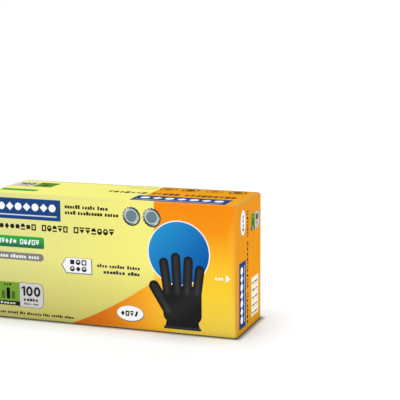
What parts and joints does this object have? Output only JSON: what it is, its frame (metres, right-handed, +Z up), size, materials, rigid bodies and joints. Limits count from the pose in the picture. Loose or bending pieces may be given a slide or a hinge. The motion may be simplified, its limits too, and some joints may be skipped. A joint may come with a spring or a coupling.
{
  "type": "disposable glove dispenser carton",
  "caption": "Closed printed paperboard carton of flat-packed disposable gloves, standing on a long narrow side, with a tear-out dispensing opening in its front and folding end flaps.",
  "frame": {"origin": "on the surface it stands on, under the middle of the carton", "axes": "+X along the carton towards the end where the glove cuffs lie, +Y from the large front with the tear-out to the large back, +Z up"},
  "size_m": [0.24, 0.073, 0.118],
  "materials": {
    "printed_board_yellow": "varnished print on folding boxboard, satin",
    "printed_board_orange": "varnished print on folding boxboard, satin",
    "plain_board": "unprinted grey reverse of recycled boxboard, matt",
    "black_nitrile": "powder-free nitrile, soft satin, textured fingertips"
  },
  "bodies": {
    "carton": {"front_panel": "printed_board_yellow", "top_panel": "printed_board_yellow", "bottom_panel": "printed_board_yellow", "back_panel": "printed_board_yellow", "glue_flap": "plain_board", "glove_01": "black_nitrile", "glove_02": "black_nitrile", "glove_03": "black_nitrile", "glove_04": "black_nitrile", "glove_05": "black_nitrile", "glove_06": "black_nitrile", "glove_07": "black_nitrile", "glove_08": "black_nitrile", "glove_09": "black_nitrile", "glove_10": "black_nitrile", "glove_11": "black_nitrile", "glove_12": "black_nitrile", "glove_13": "black_nitrile", "glove_14": "black_nitrile", "glove_15": "black_nitrile", "glove_16": "black_nitrile", "glove_17": "black_nitrile", "glove_18": "black_nitrile", "glove_19": "black_nitrile", "glove_20": "black_nitrile", "glove_21": "black_nitrile", "glove_22": "black_nitrile", "glove_23": "black_nitrile", "glove_24": "black_nitrile", "glove_25": "black_nitrile", "glove_26": "black_nitrile", "glove_27": "black_nitrile", "glove_28": "black_nitrile", "glove_29": "black_nitrile", "glove_30": "black_nitrile", "glove_bundle_1": "black_nitrile", "glove_bundle_2": "black_nitrile", "glove_bundle_3": "black_nitrile", "glove_bundle_4": "black_nitrile", "glove_bundle_5": "black_nitrile", "glove_bundle_6": "black_nitrile", "glove_bundle_7": "black_nitrile"},
    "dispenser_flap": {"dispenser_flap": "printed_board_yellow"},
    "thumb_tab": {"thumb_tab": "printed_board_yellow"},
    "right_outer_flap": {"right_outer_flap": "printed_board_orange"},
    "right_inner_flap": {"right_inner_flap": "plain_board"},
    "right_top_dust_flap": {"right_top_dust_flap": "plain_board"},
    "right_bottom_dust_flap": {"right_bottom_dust_flap": "plain_board"},
    "left_outer_flap": {"left_outer_flap": "printed_board_orange"},
    "left_inner_flap": {"left_inner_flap": "plain_board"},
    "left_top_dust_flap": {"left_top_dust_flap": "plain_board"},
    "left_bottom_dust_flap": {"left_bottom_dust_flap": "plain_board"}
  },
  "joints": [
    {"name": "dispenser_flap_lift", "type": "hinge", "parent": "carton", "child": "dispenser_flap", "pos_m": [0.0547, -0.0365, 0.059], "axis": [0, 0, 1], "range_deg": [0, 120]},
    {"name": "thumb_tab_press", "type": "hinge", "parent": "dispenser_flap", "child": "thumb_tab", "pos_m": [-0.0529, -0.036, 0.059], "axis": [0, 0, -1], "range_deg": [0, 35]},
    {"name": "right_outer_flap_fold", "type": "hinge", "parent": "carton", "child": "right_outer_flap", "pos_m": [0.12, -0.0365, 0.059], "axis": [0, 0, -1], "range_deg": [0, 175]},
    {"name": "right_inner_flap_fold", "type": "hinge", "parent": "carton", "child": "right_inner_flap", "pos_m": [0.11935, 0.0365, 0.059], "axis": [0, 0, 1], "range_deg": [0, 125]},
    {"name": "right_top_dust_flap_fold", "type": "hinge", "parent": "carton", "child": "right_top_dust_flap", "pos_m": [0.1187, 0, 0.118], "axis": [0, -1, 0], "range_deg": [0, 105]},
    {"name": "right_bottom_dust_flap_fold", "type": "hinge", "parent": "carton", "child": "right_bottom_dust_flap", "pos_m": [0.1187, 0, 0], "axis": [0, 1, 0], "range_deg": [0, 105]},
    {"name": "left_outer_flap_fold", "type": "hinge", "parent": "carton", "child": "left_outer_flap", "pos_m": [-0.12, -0.0365, 0.059], "axis": [0, 0, 1], "range_deg": [0, 175]},
    {"name": "left_inner_flap_fold", "type": "hinge", "parent": "carton", "child": "left_inner_flap", "pos_m": [-0.11935, 0.0365, 0.059], "axis": [0, 0, -1], "range_deg": [0, 125]},
    {"name": "left_top_dust_flap_fold", "type": "hinge", "parent": "carton", "child": "left_top_dust_flap", "pos_m": [-0.1187, 0, 0.118], "axis": [0, 1, 0], "range_deg": [0, 105]},
    {"name": "left_bottom_dust_flap_fold", "type": "hinge", "parent": "carton", "child": "left_bottom_dust_flap", "pos_m": [-0.1187, 0, 0], "axis": [0, -1, 0], "range_deg": [0, 105]}
  ],
  "couplings": [
    {"joint": "right_inner_flap_fold", "follows": "right_outer_flap_fold", "ratio": 0.6},
    {"joint": "right_top_dust_flap_fold", "follows": "right_outer_flap_fold", "ratio": 0.5},
    {"joint": "right_bottom_dust_flap_fold", "follows": "right_outer_flap_fold", "ratio": 0.5},
    {"joint": "left_inner_flap_fold", "follows": "left_outer_flap_fold", "ratio": 0.6},
    {"joint": "left_top_dust_flap_fold", "follows": "left_outer_flap_fold", "ratio": 0.5},
    {"joint": "left_bottom_dust_flap_fold", "follows": "left_outer_flap_fold", "ratio": 0.5}
  ]
}
